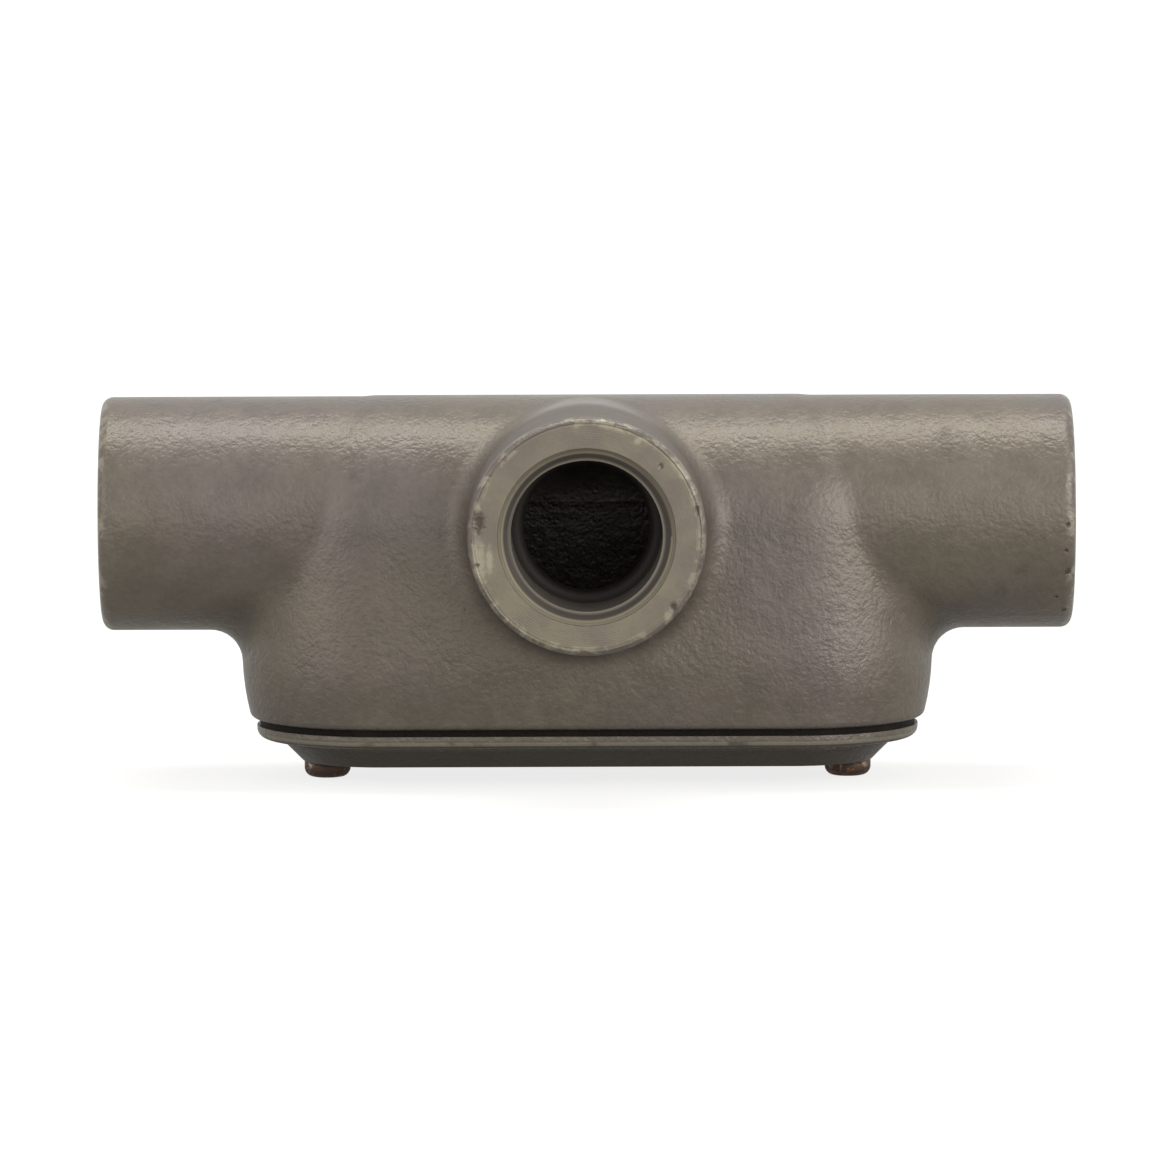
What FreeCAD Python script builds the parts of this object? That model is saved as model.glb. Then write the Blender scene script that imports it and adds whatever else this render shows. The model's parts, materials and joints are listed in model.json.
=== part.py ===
import FreeCAD, Part
import math
import os
import PartDesign
import Sketcher
from FreeCAD import Rotation, Vector

# T type conduit body in cast iron, for three quarter inch threaded conduit.
# Each piece is drawn about the crossing of the hub axes: X along the run, -Y out of the
# branch hub, +Z to the crown. The placements at the end stand the piece on its screw heads.

document = FreeCAD.newDocument("ConduitBody")
sizes = document.addObject("Spreadsheet::Sheet", "sizes")

cells = {
    # hubs
    "boreRadius": 13.25,
    "boreDepth": 16.0,
    "mouthFlare": 0.7,
    "mouthDepth": 0.8,
    "hubWall": 5.45,
    "runMouthRound": 1.8,
    "branchMouthRound": 1.3,
    "bushingStep": 3.3,
    "bushingLength": 3.6,
    "passageWall": 3.7,
    # housing
    "hubProjection": 23.6,
    "branchProjection": 19.7,
    "rimHalfLength": 53.95,
    "sideMargin": 2.2,
    "bellySwell": 1.4,
    "archInset": 1.3,
    "crownRise": 0.15,
    "rimDepth": 32.8,
    "bellyHeight": 10.4,
    "wall": 3.2,
    "runFillet": 5.1,
    "branchFillet": 4.5,
    "rimRound": 1.2,
    # lip inside the rim, with the sloping shoulder that the wedge nuts grip
    "lipWidth": 4.9,
    "lipHeight": 3.2,
    "shoulderHeight": 2.0,
    # gasket and cover
    "gasketThickness": 1.1,
    "gasketInset": 0.5,
    "gasketWidth": 3.5,
    "coverInset": 0.9,
    "coverThickness": 2.1,
    "coverRound": 1.5,
    "domeHeight": 3.6,
    "domeSetBack": 4.3,
    "domeSlope": 2.9,
    "domeWall": 1.9,
    "domeInnerRound": 2.0,
    # cover screws
    "screwInset": 12.15,
    "screwRadius": 2.08,
    "screwClearance": 0.2,
    "screwLength": 19.0,
    "headRadius": 3.7,
    "headHeight": 2.9,
    "headRound": 1.5,
    "screwChamfer": 0.5,
    "slotWidth": 1.1,
    "slotDepth": 0.9,
    # wedge nuts
    "nutClearance": 0.05,
    "nutThickness": 4.2,
    "nutHalfWidth": 3.3,
    "nutTail": 3.6,
    "nutSink": 0.6,
    "nutRound": 0.8,
    "toeStart": 5.6,
    "toeReach": 8.6,
}
for row, (alias, size) in enumerate(cells.items(), start=1):
    sizes.set(f"A{row}", alias)
    sizes.set(f"B{row}", str(size))
    sizes.setAlias(f"B{row}", alias)
document.recompute()

# sizes that follow from the cells
hubRadius = "(sizes.boreRadius + sizes.hubWall)"
runReach = "(sizes.rimHalfLength + sizes.hubProjection)"
mouthRadius = "(sizes.boreRadius + sizes.mouthFlare)"
throatRadius = "(sizes.boreRadius - sizes.bushingStep)"
bushingRound = "(sizes.bushingLength * 5 / 12)"
passageRadius = f"({hubRadius} - sizes.passageWall)"
rimHalfWidth = f"({hubRadius} + sizes.sideMargin)"
endCentre = f"(sizes.rimHalfLength - {rimHalfWidth})"
bellyHalfWidth = f"({rimHalfWidth} + sizes.bellySwell)"
bellyDrop = "(sizes.rimDepth - sizes.bellyHeight)"
bellyRadius = "((sizes.bellyHeight ^ 2 + sizes.bellySwell ^ 2) / (2 * sizes.bellySwell))"
bellyCentre = f"({bellyHalfWidth} - {bellyRadius})"
archRadius = f"({bellyHalfWidth} - sizes.archInset)"
crown = f"({hubRadius} + sizes.crownRise)"
archCentre = f"({crown} - {archRadius})"
branchReach = f"({bellyHalfWidth} + sizes.branchProjection)"
lipRadius = f"({rimHalfWidth} - sizes.lipWidth)"
lipTop = "(sizes.rimDepth - sizes.lipHeight)"
shoulderTop = f"({lipTop} - sizes.shoulderHeight)"
coverHalfWidth = f"({rimHalfWidth} - sizes.coverInset)"
gasketRadius = f"({coverHalfWidth} - sizes.gasketInset)"
flangeTop = "(sizes.rimDepth + sizes.gasketThickness)"
flangeBottom = f"({flangeTop} + sizes.coverThickness)"
domeBottom = f"({flangeBottom} + sizes.domeHeight)"
domeRadius = f"({coverHalfWidth} - sizes.domeSetBack)"
standHeight = f"({domeBottom} + sizes.headHeight)"
screwPlace = "(sizes.rimHalfLength - sizes.screwInset)"
nutBottom = f"({lipTop} + sizes.nutSink)"


def value(expression):
    """The number that an expression of the cells comes to."""
    return float(sizes.evalExpression(expression.replace("sizes.", "")))


def newBody(label):
    body = document.addObject("PartDesign::Body", label)
    body.Label = label
    return body


def originPlane(body, role):
    return next(plane for plane in body.Origin.OriginFeatures if plane.Role == role)


def newSketch(body, name, role, **offsets):
    """A sketch on one of the body's origin planes, shifted by expressions along its own axes."""
    sketch = body.newObject("Sketcher::SketchObject", name)
    sketch.AttachmentSupport = [(originPlane(body, role), "")]
    sketch.MapMode = "FlatFace"
    for axis, expression in offsets.items():
        sketch.setExpression(f"AttachmentOffset.Base.{axis}", expression)
    document.recompute()
    return sketch


def hold(sketch, kind, *where, size):
    """A dimension that follows an expression."""
    index = sketch.addConstraint(Sketcher.Constraint(kind, *where, value(size)))
    sketch.setExpression(f"Constraints[{index}]", size)


def holdPoint(sketch, geometry, end, across, up):
    """Places a point of the sketch, on an axis where its expression is empty."""
    if across:
        hold(sketch, "DistanceX", -1, 1, geometry, end, size=across)
    else:
        sketch.addConstraint(Sketcher.Constraint("PointOnObject", geometry, end, -2))
    if up:
        hold(sketch, "DistanceY", -1, 1, geometry, end, size=up)
    else:
        sketch.addConstraint(Sketcher.Constraint("PointOnObject", geometry, end, -1))


def at(across, up):
    return Vector(value(across) if across else 0, value(up) if up else 0, 0)


def polygon(sketch, corners):
    """A closed outline of straight lines through corners given as pairs of expressions."""
    for start, end in zip(corners, corners[1:] + corners[:1]):
        sketch.addGeometry(Part.LineSegment(at(*start), at(*end)))
    for index, corner in enumerate(corners):
        before = (index - 1) % len(corners)
        sketch.addConstraint(Sketcher.Constraint("Coincident", before, 2, index, 1))
        holdPoint(sketch, index, 1, *corner)


def circle(sketch, radius, across="", up=""):
    index = sketch.addGeometry(Part.Circle(at(across, up), Vector(0, 0, 1), value(radius)))
    hold(sketch, "Radius", index, size=radius)
    holdPoint(sketch, index, 3, across, up)


def obround(sketch, radius, centre):
    """Two lines joined by half circles, whose centres lie out along the sketch's X axis."""
    reach, half = value(centre), value(radius)
    right = sketch.addGeometry(Part.ArcOfCircle(
        Part.Circle(Vector(reach, 0, 0), Vector(0, 0, 1), half), -math.pi / 2, math.pi / 2))
    back = sketch.addGeometry(Part.LineSegment(Vector(reach, half, 0), Vector(-reach, half, 0)))
    left = sketch.addGeometry(Part.ArcOfCircle(
        Part.Circle(Vector(-reach, 0, 0), Vector(0, 0, 1), half), math.pi / 2, 3 * math.pi / 2))
    front = sketch.addGeometry(Part.LineSegment(Vector(-reach, -half, 0), Vector(reach, -half, 0)))
    for before, after in ((right, back), (back, left), (left, front), (front, right)):
        sketch.addConstraint(Sketcher.Constraint("Tangent", before, 2, after, 1))
    sketch.addConstraint(Sketcher.Constraint("Equal", right, left))
    hold(sketch, "Radius", right, size=radius)
    holdPoint(sketch, right, 3, centre, "")
    holdPoint(sketch, left, 3, f"-{centre}", "")


def wallProfile(sketch, inset, tail):
    """Half of the housing's section: arch, drafted flank, belly, then straight lines to the axis."""
    arch, belly = value(archRadius) - value(inset), value(bellyRadius) - value(inset)
    archAt, bellyAt = at("", archCentre), at(bellyCentre, f"-{bellyDrop}")
    between = bellyAt - archAt
    lean = math.atan2(between.y, between.x) + math.acos((arch - belly) / between.Length)
    normal = Vector(math.cos(lean), math.sin(lean), 0)
    corners = [at(*corner) for corner in tail]
    lowest = math.asin((corners[0].y - bellyAt.y) / belly)
    corners[0] = bellyAt + Vector(math.cos(lowest), math.sin(lowest), 0) * belly
    top = archAt + Vector(0, arch, 0)
    sketch.addGeometry([
        Part.ArcOfCircle(Part.Circle(archAt, Vector(0, 0, 1), arch), lean, math.pi / 2),
        Part.LineSegment(archAt + normal * arch, bellyAt + normal * belly),
        Part.ArcOfCircle(Part.Circle(bellyAt, Vector(0, 0, 1), belly), lowest, lean),
    ])
    for start, end in zip(corners, corners[1:] + [top]):
        sketch.addGeometry(Part.LineSegment(start, end))
    last = 2 + len(tail)
    sketch.addConstraint([
        Sketcher.Constraint("Tangent", 0, 1, 1, 1),
        Sketcher.Constraint("Tangent", 2, 2, 1, 2),
        Sketcher.Constraint("Coincident", 2, 1, 3, 1),
        Sketcher.Constraint("Coincident", last, 2, 0, 2),
        Sketcher.Constraint("PointOnObject", 0, 2, -2),
    ])
    hold(sketch, "Radius", 0, size=f"{archRadius} - {inset}")
    holdPoint(sketch, 0, 3, "", archCentre)
    hold(sketch, "Radius", 2, size=f"{bellyRadius} - {inset}")
    holdPoint(sketch, 2, 3, bellyCentre, f"-{bellyDrop}")
    hold(sketch, "DistanceY", -1, 1, 2, 1, size=tail[0][1])
    for line, corner in enumerate(tail[1:], start=4):
        sketch.addConstraint(Sketcher.Constraint("Coincident", line - 1, 2, line, 1))
        holdPoint(sketch, line, 1, *corner)


def pad(body, sketch, length, both=False, away=False):
    feature = body.newObject("PartDesign::Pad", f"{sketch.Name}Pad")
    return extrude(feature, sketch, length, both, away)


def pocket(body, sketch, length, both=False, away=False):
    feature = body.newObject("PartDesign::Pocket", f"{sketch.Name}Pocket")
    return extrude(feature, sketch, length, both, away)


def extrude(feature, sketch, length, both, away):
    feature.Profile = sketch
    feature.SideType = "Symmetric" if both else "One side"
    feature.Reversed = away
    feature.Refine = True
    feature.setExpression("Length", length)
    document.recompute()
    return feature


def turn(body, kind, sketch, axis, angle=360):
    """A Revolution or a Groove about one of the sketch's axes."""
    feature = body.newObject(f"PartDesign::{kind}", f"{sketch.Name}{kind}")
    feature.Profile = sketch
    feature.ReferenceAxis = (sketch, [axis])
    feature.Angle = angle
    feature.Refine = True
    document.recompute()
    return feature


def mirror(body, role, *features):
    feature = body.newObject("PartDesign::Mirrored", f"{features[0].Name}Mirror")
    feature.Originals = list(features)
    feature.MirrorPlane = (originPlane(body, role), [""])
    feature.Refine = True
    body.Tip = feature
    document.recompute()
    return feature


def fillet(body, base, radius, chosen, name, kind="Fillet"):
    """Rounds those edges of base that the function chosen accepts, or bevels them as a Chamfer."""
    edges = [f"Edge{number}" for number, edge in enumerate(base.Shape.Edges, start=1) if chosen(edge)]
    if not edges:
        raise RuntimeError(f"{name}: no edge was found")
    feature = body.newObject(f"PartDesign::{kind}", name)
    feature.Base = (base, edges)
    feature.Refine = True
    feature.setExpression("Radius" if kind == "Fillet" else "Size", radius)
    document.recompute()
    return feature


def near(first, second, slack=0.01):
    return abs(first - second) < slack


def isRing(edge, radius):
    """Whether an edge is a whole circle of this radius that faces along X, Y or Z."""
    box = edge.BoundBox
    flat, *across = sorted((box.XLength, box.YLength, box.ZLength))
    return near(flat, 0) and all(near(length, 2 * radius) for length in across)


def touches(shape, edge, axis):
    """Whether an edge bounds one of the hubs' outer cylinders, whose axis runs along axis."""
    return any(
        isinstance(face.Surface, Part.Cylinder)
        and near(face.Surface.Radius, value(hubRadius))
        and near(abs(face.Surface.Axis.dot(axis)), 1)
        for face in shape.ancestorsOfType(edge, Part.Face))


def makeHousing():
    body = newBody("housing")

    # outside: the middle as a section along the run, the turned ends, then the three hubs
    tail = [(bellyHalfWidth, "-sizes.rimDepth"), ("", "-sizes.rimDepth")]
    section = newSketch(body, "section", "YZ_Plane")
    wallProfile(section, "0", tail)
    mirror(body, "XZ_Plane", pad(body, section, f"2 * {endCentre}", both=True))
    endSection = newSketch(body, "endSection", "XZ_Plane", x=endCentre)
    wallProfile(endSection, "0", tail)
    mirror(body, "YZ_Plane", turn(body, "Revolution", endSection, "V_Axis"))
    runHub = newSketch(body, "runHub", "YZ_Plane")
    circle(runHub, hubRadius)
    pad(body, runHub, f"2 * {runReach}", both=True)
    branchHub = newSketch(body, "branchHub", "XZ_Plane")
    circle(branchHub, hubRadius)
    outside = pad(body, branchHub, branchReach)

    # the rounded mouths of the hubs, and the roots where the hubs leave the housing
    rounded = fillet(body, outside, "sizes.runMouthRound", lambda edge: (
        near(abs(edge.BoundBox.Center.x), value(runReach)) and isRing(edge, value(hubRadius))), "runMouths")
    rounded = fillet(body, rounded, "sizes.branchMouthRound", lambda edge: (
        near(edge.BoundBox.Center.y, -value(branchReach)) and isRing(edge, value(hubRadius))), "branchMouth")
    rounded = fillet(body, rounded, "sizes.runFillet", lambda edge: (
        touches(rounded.Shape, edge, Vector(1, 0, 0)) and not isRing(edge, value(hubRadius))
        and value(endCentre) < abs(edge.BoundBox.Center.x)), "runRoots")
    rounded = fillet(body, rounded, "sizes.branchFillet", lambda edge: (
        touches(rounded.Shape, edge, Vector(0, 1, 0)) and not isRing(edge, value(hubRadius))), "branchRoot")
    rounded = fillet(body, rounded, "sizes.rimRound", lambda edge: (
        near(edge.BoundBox.ZMin, -value("sizes.rimDepth"))
        and near(edge.BoundBox.ZMax, -value("sizes.rimDepth"))), "rimEdge")

    # inside: the same section thinner by the wall, down to the shoulder over the lip
    below = f"-({lipTop} + 2 * sizes.lipHeight)"
    tail = [(lipRadius, f"-{shoulderTop}"), (lipRadius, f"-{lipTop}"), (lipRadius, below), ("", below)]
    hollow = newSketch(body, "hollow", "YZ_Plane")
    wallProfile(hollow, "sizes.wall", tail)
    mirror(body, "XZ_Plane", pocket(body, hollow, f"2 * {endCentre}", both=True))
    endHollow = newSketch(body, "endHollow", "XZ_Plane", x=endCentre)
    wallProfile(endHollow, "sizes.wall", tail)
    mirror(body, "YZ_Plane", turn(body, "Groove", endHollow, "V_Axis"))

    # the tapped bores, each with its bushing ring and the passage behind it
    def boreOutline(reach, sign):
        seat, inner = f"({reach} - sizes.boreDepth)", f"({reach} - sizes.boreDepth - sizes.bushingLength)"
        steps = [(reach, mouthRadius), (f"({reach} - sizes.mouthDepth)", "sizes.boreRadius"),
                 (seat, "sizes.boreRadius"), (seat, throatRadius),
                 (inner, throatRadius), (inner, passageRadius),
                 (f"({endCentre} / 4)", passageRadius)]
        steps = [(reach, "")] + steps + [(f"({endCentre} / 4)", "")]
        return [(f"{sign}{along}", out) for along, out in steps]

    runBore = newSketch(body, "runBore", "XZ_Plane")
    polygon(runBore, boreOutline(runReach, ""))
    mirror(body, "YZ_Plane", turn(body, "Groove", runBore, "H_Axis"))
    branchBore = newSketch(body, "branchBore", "YZ_Plane")
    polygon(branchBore, boreOutline(branchReach, "-"))
    bored = turn(body, "Groove", branchBore, "H_Axis")
    fillet(body, bored, bushingRound, lambda edge: isRing(edge, value(throatRadius)), "bushingLips")
    return body


def makeGasket():
    body = newBody("gasket")
    ring = newSketch(body, "ring", "XY_Plane", z="-sizes.rimDepth")
    obround(ring, gasketRadius, endCentre)
    obround(ring, f"({gasketRadius} - sizes.gasketWidth)", endCentre)
    pad(body, ring, "sizes.gasketThickness", away=True)
    return body


def makeCover():
    body = newBody("cover")
    flange = newSketch(body, "flange", "XY_Plane", z=f"-{flangeTop}")
    obround(flange, coverHalfWidth, endCentre)
    plate = pad(body, flange, "sizes.coverThickness", away=True)
    plate = fillet(body, plate, "sizes.coverRound", lambda edge: (
        near(edge.BoundBox.ZMax, -value(flangeBottom))), "flangeEdge")
    raised = newSketch(body, "raised", "XY_Plane", z=f"-{flangeBottom}")
    obround(raised, domeRadius, endCentre)
    dome = pad(body, raised, "sizes.domeHeight", away=True)
    fillet(body, dome, "sizes.domeSlope", lambda edge: (
        near(edge.BoundBox.ZMax, -value(domeBottom))), "domeSlope", "Chamfer")
    inside = newSketch(body, "inside", "XY_Plane", z=f"-{flangeTop}")
    obround(inside, f"({domeRadius} - sizes.domeWall)", endCentre)
    hollow = pocket(body, inside, "sizes.coverThickness + sizes.domeHeight - sizes.domeWall")
    fillet(body, hollow, "sizes.domeInnerRound", lambda edge: (
        near(edge.BoundBox.ZMin, value(f"sizes.domeWall - {domeBottom}"))
        and near(edge.BoundBox.ZMax, value(f"sizes.domeWall - {domeBottom}"))), "innerEdge")
    holes = newSketch(body, "holes", "XY_Plane", z=f"-{flangeTop}")
    for sign in ("", "-"):
        circle(holes, "(sizes.screwRadius + sizes.screwClearance)", f"{sign}{screwPlace}")
    pocket(body, holes, "2 * (sizes.coverThickness + sizes.domeHeight)")
    return body


def makeScrew(label):
    body = newBody(label)
    outline = newSketch(body, f"{label}Outline", "XZ_Plane")
    tip = f"(sizes.screwLength - {domeBottom})"
    polygon(outline, [
        ("", f"-{standHeight}"), ("sizes.headRadius", f"-{standHeight}"),
        ("sizes.headRadius", f"-{domeBottom}"), ("sizes.screwRadius", f"-{domeBottom}"),
        ("sizes.screwRadius", f"{tip} - sizes.screwChamfer"),
        ("(sizes.screwRadius - sizes.screwChamfer)", tip), ("", tip)])
    solid = turn(body, "Revolution", outline, "V_Axis")
    solid = fillet(body, solid, "sizes.headRound", lambda edge: (
        near(edge.BoundBox.ZMax, -value(standHeight))), f"{label}Head")
    slot = newSketch(body, f"{label}Slot", "YZ_Plane")
    half = "(sizes.slotWidth / 2)"
    bottom, top = f"-({standHeight} + sizes.slotDepth)", f"-({standHeight} - sizes.slotDepth)"
    polygon(slot, [(f"-{half}", bottom), (half, bottom), (half, top), (f"-{half}", top)])
    pocket(body, slot, "3 * sizes.headRadius", both=True)
    return body


def makeNut(label):
    """A wedge nut about its screw's axis, with its toe along +X and the slope under the toe."""
    body = newBody(label)
    side = newSketch(body, f"{label}Side", "XZ_Plane")
    bottom, top = f"-{nutBottom}", f"-({nutBottom} - sizes.nutThickness)"
    tip = f"-({nutBottom} - (sizes.toeReach - sizes.toeStart))"
    polygon(side, [
        ("-sizes.nutTail", bottom), ("sizes.toeStart", bottom), ("sizes.toeReach", tip),
        ("sizes.toeReach", top), ("-sizes.nutTail", top)])
    block = pad(body, side, "2 * sizes.nutHalfWidth", both=True)
    block = fillet(body, block, "sizes.nutRound", lambda edge: (
        near(edge.BoundBox.XLength, 0) and near(edge.BoundBox.YLength, 0)), f"{label}Corners")
    hole = newSketch(body, f"{label}Hole", "XY_Plane", z=f"-{nutBottom} - sizes.nutThickness")
    circle(hole, "(sizes.screwRadius + sizes.nutClearance)")
    pocket(body, hole, "3 * sizes.nutThickness", away=True)
    return body


pieces = [makeHousing(), makeGasket(), makeCover()]
for body in pieces:
    body.setExpression("Placement.Base.y", f"({branchReach} - {bellyHalfWidth}) / 2")
    body.setExpression("Placement.Base.z", standHeight)

# each nut rests a quarter turn back from where its toe points outwards, clear of the lip
for side, sign, resting in (("left", "-", 90), ("right", "", -90)):
    screw, nut = makeScrew(f"cover_screw_{side}"), makeNut(f"wedge_nut_{side}")
    for body in (screw, nut):
        body.setExpression("Placement.Base.x", f"{sign}{screwPlace}")
        body.setExpression("Placement.Base.y", f"({branchReach} - {bellyHalfWidth}) / 2")
        body.setExpression("Placement.Base.z", standHeight)
    nut.Placement.Rotation = Rotation(Vector(0, 0, 1), resting)
    pieces += [screw, nut]
document.recompute()

for item in document.Objects:
    if {"Invalid", "Error"} & set(item.State):
        raise RuntimeError(f"{item.Label} failed: {item.State}")
for body in pieces:
    if body.Shape.isNull() or not body.Shape.isValid() or len(body.Shape.Solids) != 1:
        raise RuntimeError(f"{body.Label} isn't one sound solid")

os.makedirs("parts", exist_ok=True)
for body in pieces:
    body.Shape.exportStep(f"parts/{body.Label}.step")
    box = body.Shape.BoundBox
    print(f"{body.Label}: {body.Shape.Volume:.0f} mm3, x {box.XMin:.2f} to {box.XMax:.2f}, "
          f"y {box.YMin:.2f} to {box.YMax:.2f}, z {box.ZMin:.2f} to {box.ZMax:.2f}")
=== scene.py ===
import json
import math

import bpy
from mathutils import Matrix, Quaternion, Vector

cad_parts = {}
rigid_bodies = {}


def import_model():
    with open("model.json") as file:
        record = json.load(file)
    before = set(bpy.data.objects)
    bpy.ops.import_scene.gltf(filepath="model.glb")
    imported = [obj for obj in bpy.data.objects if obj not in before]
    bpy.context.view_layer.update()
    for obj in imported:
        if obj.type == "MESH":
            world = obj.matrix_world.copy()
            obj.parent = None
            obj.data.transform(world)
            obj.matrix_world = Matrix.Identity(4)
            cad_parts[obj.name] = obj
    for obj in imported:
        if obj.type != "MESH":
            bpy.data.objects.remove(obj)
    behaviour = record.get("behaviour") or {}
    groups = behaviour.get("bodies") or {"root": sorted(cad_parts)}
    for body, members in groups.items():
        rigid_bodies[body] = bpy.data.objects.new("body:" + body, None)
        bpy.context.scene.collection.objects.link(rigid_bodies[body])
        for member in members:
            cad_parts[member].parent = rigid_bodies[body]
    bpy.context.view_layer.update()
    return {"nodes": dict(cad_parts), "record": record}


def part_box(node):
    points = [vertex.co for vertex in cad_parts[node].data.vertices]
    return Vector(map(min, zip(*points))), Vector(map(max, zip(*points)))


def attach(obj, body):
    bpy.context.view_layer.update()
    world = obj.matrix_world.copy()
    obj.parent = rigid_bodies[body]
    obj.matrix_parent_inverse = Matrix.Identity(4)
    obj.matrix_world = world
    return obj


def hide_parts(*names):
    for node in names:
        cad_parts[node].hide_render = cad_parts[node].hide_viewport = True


for leftover in list(bpy.data.objects):
    bpy.data.objects.remove(leftover)

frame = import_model()
nodes = frame["nodes"]
mounts = {mount["name"]: mount for mount in frame["record"]["mounts"]}
housingLow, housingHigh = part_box("housing")
axisY, axisZ = mounts["run_hub_left"]["pos_m"][1:]
leftMouth = Vector((housingLow.x, axisY, axisZ))
rightMouth = Vector((housingHigh.x, axisY, axisZ))
branchMouth = Vector((0, housingLow.y, axisZ))
# each hub's mouth and the way in, the branch hub first
hubMouths = ((branchMouth, (0, 1, 0)), (leftMouth, (1, 0, 0)), (rightMouth, (-1, 0, 0)))
weldDistance = 0.000002
pickMargin = 0.00001  # how far below a rim its vertices are still picked
print("frame loaded:", len(nodes), "nodes")


def linearColour(hexCode):
    # a colour as it is picked on screen, turned into the shader's linear values
    channels = []
    for start in (0, 2, 4):
        value = int(hexCode[start:start + 2], 16) / 255
        channels.append(value / 12.92 if value <= 0.04045 else ((value + 0.055) / 1.055) ** 2.4)
    return (*channels, 1.0)


# mesh work: each helper but pickVertices leaves object mode on

def clearSelection():
    if bpy.context.object and bpy.context.object.mode != "OBJECT":
        bpy.ops.object.mode_set(mode="OBJECT")
    bpy.ops.object.select_all(action="DESELECT")


def makeActive(piece):
    clearSelection()
    piece.select_set(True)
    bpy.context.view_layer.objects.active = piece


def nameActive(name):
    piece = bpy.context.object
    piece.name = name
    piece.data.name = name
    return piece


def pickVertices(piece, test):
    # leaves edit mode on, with the vertices whose place passes the test selected
    bpy.ops.object.mode_set(mode="OBJECT")
    for face in piece.data.polygons:
        face.select = False
    for edge in piece.data.edges:
        edge.select = False
    for vertex in piece.data.vertices:
        vertex.select = test(vertex.co)
    bpy.ops.object.mode_set(mode="EDIT")
    bpy.ops.mesh.select_mode(type="VERT")


def tidyMesh(piece):
    makeActive(piece)
    bpy.ops.object.mode_set(mode="EDIT")
    bpy.ops.mesh.select_all(action="SELECT")
    bpy.ops.mesh.remove_doubles(threshold=weldDistance)
    bpy.ops.mesh.normals_make_consistent(inside=False)
    bpy.ops.object.mode_set(mode="OBJECT")


def settle(piece, place, turn):
    # a piece made about the origin is turned and moved, and that goes into its mesh
    makeActive(piece)
    piece.rotation_euler = turn
    piece.location = place
    bpy.ops.object.transform_apply(location=True, rotation=True, scale=True)


def cutWith(piece, cutter, operation):
    makeActive(piece)
    boolean = piece.modifiers.new("trim", "BOOLEAN")
    boolean.operation = operation
    boolean.solver = "EXACT"
    boolean.object = cutter
    bpy.ops.object.modifier_apply(modifier=boolean.name)
    bpy.data.objects.remove(cutter)


def helixRidge(name, rootRadius, crestRadius, rootWidth, crestWidth, pitch, turns, steps):
    # one thread ridge round Z: a flat four-sided section, swept by the Screw modifier
    clearSelection()
    middle = (rootRadius + crestRadius) / 2
    bpy.ops.mesh.primitive_plane_add(size=1, location=(middle, 0, 0), rotation=(math.pi / 2, 0, 0))
    ridge = nameActive(name)
    ridge.scale = (abs(rootRadius - crestRadius), rootWidth, 1)
    bpy.ops.object.transform_apply(location=True, rotation=True, scale=True)
    crestSide = 1 if crestRadius > rootRadius else -1
    pickVertices(ridge, lambda place: (place.x - middle) * crestSide > 0)
    bpy.ops.transform.resize(value=(1, 1, crestWidth / rootWidth))
    bpy.ops.mesh.select_all(action="SELECT")
    bpy.ops.mesh.delete(type="ONLY_FACE")
    bpy.ops.object.mode_set(mode="OBJECT")
    sweep = ridge.modifiers.new("sweep", "SCREW")
    sweep.axis = "Z"
    sweep.angle = math.tau
    sweep.screw_offset = pitch
    sweep.iterations = turns
    sweep.steps = steps
    sweep.render_steps = steps
    bpy.ops.object.modifier_apply(modifier=sweep.name)
    bpy.ops.object.mode_set(mode="EDIT")
    bpy.ops.mesh.select_all(action="SELECT")
    bpy.ops.mesh.remove_doubles(threshold=weldDistance)
    bpy.ops.mesh.select_all(action="DESELECT")
    bpy.ops.mesh.select_non_manifold()
    bpy.ops.mesh.edge_face_add()
    bpy.ops.mesh.select_all(action="SELECT")
    bpy.ops.mesh.normals_make_consistent(inside=False)
    bpy.ops.object.mode_set(mode="OBJECT")
    return ridge


# node work: every value may be a plain number or colour, or another node's output

def addNode(tree, kind, inputs=None, settings=None):
    node = tree.nodes.new(kind)
    for name, value in (settings or {}).items():
        setattr(node, name, value)
    for key, value in (inputs or {}).items():
        if isinstance(value, bpy.types.NodeSocket):
            tree.links.new(value, node.inputs[key])
        else:
            node.inputs[key].default_value = value
    return node


def mathNode(tree, operation, first, second=0.0, third=0.0):
    return addNode(tree, "ShaderNodeMath", {0: first, 1: second, 2: third},
                   {"operation": operation}).outputs[0]


def vectorNode(tree, operation, first, second=(0, 0, 0)):
    node = addNode(tree, "ShaderNodeVectorMath", {0: first, 1: second}, {"operation": operation})
    return node.outputs["Value" if operation in ("LENGTH", "DOT_PRODUCT") else "Vector"]


def rampNode(tree, value, low, high, toLow=0.0, toHigh=1.0):
    return addNode(tree, "ShaderNodeMapRange",
                   {"Value": value, "From Min": low, "From Max": high, "To Min": toLow, "To Max": toHigh},
                   {"interpolation_type": "SMOOTHSTEP"}).outputs["Result"]


def mixNode(tree, factor, first, second, mode="MIX"):
    return addNode(tree, "ShaderNodeMix", {0: factor, 6: first, 7: second},
                   {"data_type": "RGBA", "blend_type": mode}).outputs[2]


def mixValue(tree, factor, first, second):
    return addNode(tree, "ShaderNodeMix", {0: factor, 2: first, 3: second}, {"data_type": "FLOAT"}).outputs[0]


def fadeIn(tree, value, span):
    return rampNode(tree, value, *span)


def fadeOut(tree, value, span):
    return rampNode(tree, value, *span, 1.0, 0.0)


def bothMasks(tree, first, second):
    return mathNode(tree, "MULTIPLY", first, second)


def anyMask(tree, masks):
    strongest = masks[0]
    for mask in masks[1:]:
        strongest = mathNode(tree, "MAXIMUM", strongest, mask)
    return strongest


def addBump(tree, shader, distance, height):
    bump = addNode(tree, "ShaderNodeBump", {"Strength": 1.0, "Distance": distance, "Height": height})
    tree.links.new(bump.outputs["Normal"], shader.inputs["Normal"])


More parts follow.
